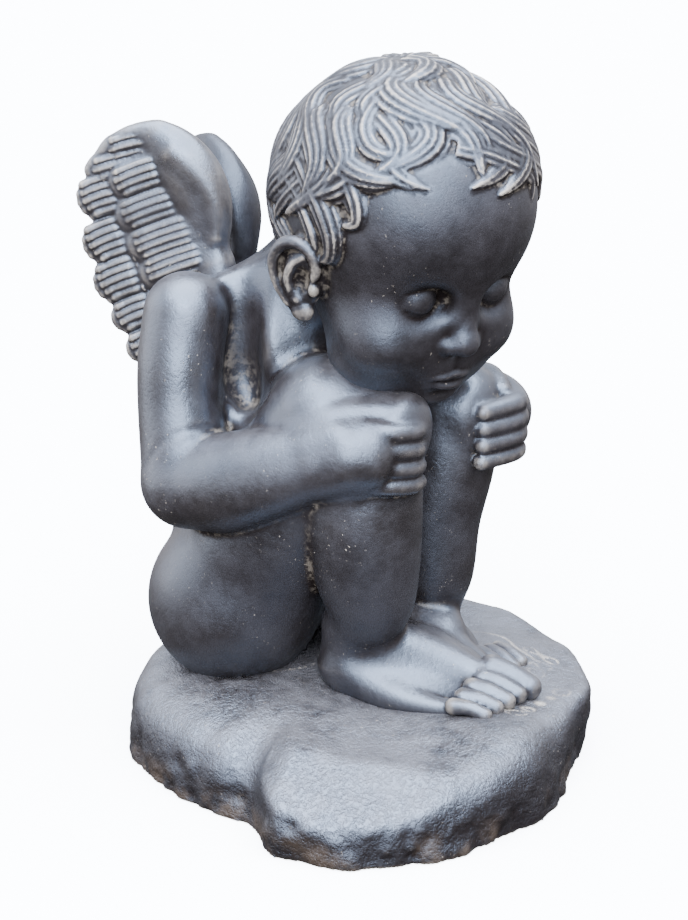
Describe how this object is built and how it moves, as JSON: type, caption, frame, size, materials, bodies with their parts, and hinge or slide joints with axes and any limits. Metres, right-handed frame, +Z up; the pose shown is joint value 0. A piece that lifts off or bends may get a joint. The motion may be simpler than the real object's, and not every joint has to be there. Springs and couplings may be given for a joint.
{
  "type": "cemetery angel statue",
  "caption": "Small winged cherub that crouches on a rock and hugs its knees, head bowed and turned, carved and cast as one block of dark stone with a flat underside.",
  "frame": {"origin": "bottom centre of the whole statue, on the ground", "axes": "+Z up, the figure's knees and feet point to -Y, its right side is -X"},
  "size_m": [0.2646, 0.2972, 0.39],
  "materials": {
    "stone": "dark graphite grey cast stone with a soft sheen, pale dust left in the curls, feathers and creases"
  },
  "bodies": {
    "root": {"cherub_statue": "stone"}
  },
  "joints": []
}
